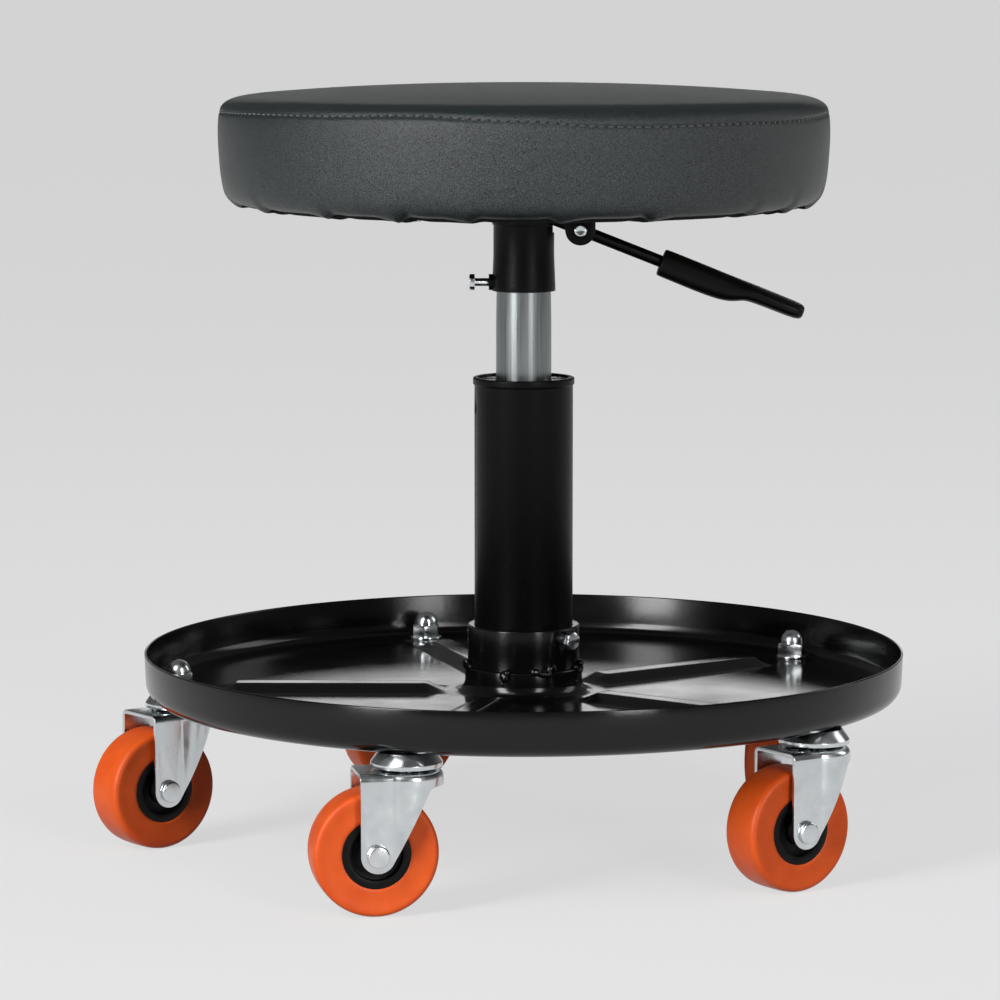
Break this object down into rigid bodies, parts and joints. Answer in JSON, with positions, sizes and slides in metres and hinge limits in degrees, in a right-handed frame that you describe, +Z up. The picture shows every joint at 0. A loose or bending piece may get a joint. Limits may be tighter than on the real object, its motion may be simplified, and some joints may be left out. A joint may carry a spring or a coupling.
{
  "type": "mechanic stool",
  "caption": "Rolling workshop stool: round padded vinyl seat on a gas-lift column with a release lever, a round tool tray at its foot and swivel casters with orange tyres.",
  "frame": {"origin": "on the floor, on the axis of the column and seat swivel", "axes": "+Z up along the column; +X towards the side where the lever stands; +Y to the back of the picture"},
  "size_m": [0.4057, 0.38, 0.38],
  "materials": {
    "black_gloss_paint": "gloss black paint",
    "black_satin_paint": "satin black paint",
    "zinc_plate": "bright zinc plate",
    "black_gloss_plastic": "gloss moulded",
    "bearing_steel": "ground steel",
    "black_rubber": "matt rubber",
    "bright_chrome": "polished and plated",
    "black_moulded_plastic": "fine moulded",
    "plywood": "raw plywood",
    "seat_foam": "open foam",
    "grey_vinyl": "pebble grain, soft sheen",
    "orange_tyre": "smooth moulded polyurethane"
  },
  "bodies": {
    "base": {"tray": "black_gloss_paint", "column_socket": "black_satin_paint", "socket_lock_bolt": "zinc_plate", "socket_welds": "black_satin_paint", "column_tube": "black_satin_paint", "guide_bush": "black_gloss_plastic", "thrust_race_lower": "bearing_steel", "thrust_balls": "bearing_steel", "swivel_caps": "zinc_plate", "caster_stems": "zinc_plate", "acorn_nuts": "zinc_plate", "stem_washers": "zinc_plate", "swivel_balls": "bearing_steel"},
    "spring_rod": {"piston_rod": "bearing_steel", "piston": "bearing_steel", "piston_seal": "black_rubber", "thrust_race_upper": "bearing_steel", "lift_buffer": "black_rubber", "rod_clip": "bearing_steel"},
    "seat": {"gas_cylinder": "bright_chrome", "rod_guide": "black_moulded_plastic", "valve_body": "bearing_steel", "seat_socket": "black_satin_paint", "socket_set_screw": "zinc_plate", "seat_plate": "black_satin_paint", "lever_bracket": "black_satin_paint", "lever_pivot_bolt": "zinc_plate", "lever_pivot_nut": "zinc_plate", "seat_bolts": "zinc_plate", "tee_nuts": "zinc_plate", "seat_board": "plywood", "seat_foam": "seat_foam", "seat_cover_top": "grey_vinyl", "seat_cover_band": "grey_vinyl", "cover_staples": "zinc_plate"},
    "lever": {"lever_rod": "black_satin_paint", "lever_grip": "black_moulded_plastic"},
    "valve_pin": {"valve_pin": "bearing_steel"},
    "caster_left": {"caster_fork_left": "zinc_plate", "wheel_axle_left": "zinc_plate"},
    "wheel_left": {"wheel_core_left": "black_moulded_plastic", "wheel_tyre_left": "orange_tyre"},
    "caster_back_left": {"caster_fork_back_left": "zinc_plate", "wheel_axle_back_left": "zinc_plate"},
    "wheel_back_left": {"wheel_core_back_left": "black_moulded_plastic", "wheel_tyre_back_left": "orange_tyre"},
    "caster_back_right": {"caster_fork_back_right": "zinc_plate", "wheel_axle_back_right": "zinc_plate"},
    "wheel_back_right": {"wheel_core_back_right": "black_moulded_plastic", "wheel_tyre_back_right": "orange_tyre"},
    "caster_front_right": {"caster_fork_front_right": "zinc_plate", "wheel_axle_front_right": "zinc_plate"},
    "wheel_front_right": {"wheel_core_front_right": "black_moulded_plastic", "wheel_tyre_front_right": "orange_tyre"},
    "caster_front_left": {"caster_fork_front_left": "zinc_plate", "wheel_axle_front_left": "zinc_plate"},
    "wheel_front_left": {"wheel_core_front_left": "black_moulded_plastic", "wheel_tyre_front_left": "orange_tyre"}
  },
  "joints": [
    {"name": "seat_swivel", "type": "hinge", "parent": "base", "child": "spring_rod", "pos_m": [0, 0, 0.09], "axis": [0, 0, 1], "continuous": true},
    {"name": "seat_lift", "type": "slide", "parent": "spring_rod", "child": "seat", "axis": [0, 0, 1], "range_m": [0, 0.1]},
    {"name": "lever_pivot", "type": "hinge", "parent": "seat", "child": "lever", "pos_m": [0.028, 0, 0.3097], "axis": [0, -1, 0], "range_deg": [0, 8]},
    {"name": "valve_pin_press", "type": "slide", "parent": "seat", "child": "valve_pin", "axis": [0, 0, -1], "range_m": [0, 0.0045]},
    {"name": "caster_swivel_left", "type": "hinge", "parent": "base", "child": "caster_left", "pos_m": [-0.17339, 0.00197, 0.0685], "axis": [0, 0, 1], "continuous": true},
    {"name": "wheel_roll_left", "type": "hinge", "parent": "caster_left", "child": "wheel_left", "pos_m": [-0.18617, -0.00766, 0.03], "axis": [-0.6018, 0.7986, 0], "continuous": true},
    {"name": "caster_swivel_back_left", "type": "hinge", "parent": "base", "child": "caster_back_left", "pos_m": [-0.05171, 0.16551, 0.0685], "axis": [0, 0, 1], "continuous": true},
    {"name": "wheel_roll_back_left", "type": "hinge", "parent": "caster_back_left", "child": "wheel_back_left", "pos_m": [-0.06621, 0.15875, 0.03], "axis": [-0.4226, 0.9063, 0], "continuous": true},
    {"name": "caster_swivel_back_right", "type": "hinge", "parent": "base", "child": "caster_back_right", "pos_m": [0.14143, 0.10032, 0.0685], "axis": [0, 0, 1], "continuous": true},
    {"name": "wheel_roll_back_right", "type": "hinge", "parent": "caster_back_right", "child": "wheel_back_right", "pos_m": [0.13544, 0.08549, 0.03], "axis": [-0.9272, 0.3746, 0], "continuous": true},
    {"name": "caster_swivel_front_right", "type": "hinge", "parent": "base", "child": "caster_front_right", "pos_m": [0.13912, -0.10351, 0.0685], "axis": [0, 0, 1], "continuous": true},
    {"name": "wheel_roll_front_right", "type": "hinge", "parent": "caster_front_right", "child": "wheel_front_right", "pos_m": [0.12601, -0.11268, 0.03], "axis": [-0.5736, 0.8192, 0], "continuous": true},
    {"name": "caster_swivel_front_left", "type": "hinge", "parent": "base", "child": "caster_front_left", "pos_m": [-0.05545, -0.16429, 0.0685], "axis": [0, 0, 1], "continuous": true},
    {"name": "wheel_roll_front_left", "type": "hinge", "parent": "caster_front_left", "child": "wheel_front_left", "pos_m": [-0.07116, -0.16735, 0.03], "axis": [-0.1908, 0.9816, 0], "continuous": true}
  ],
  "couplings": [
    {"joint": "valve_pin_press", "follows": "lever_pivot", "m_per_rad": 0.0305}
  ]
}
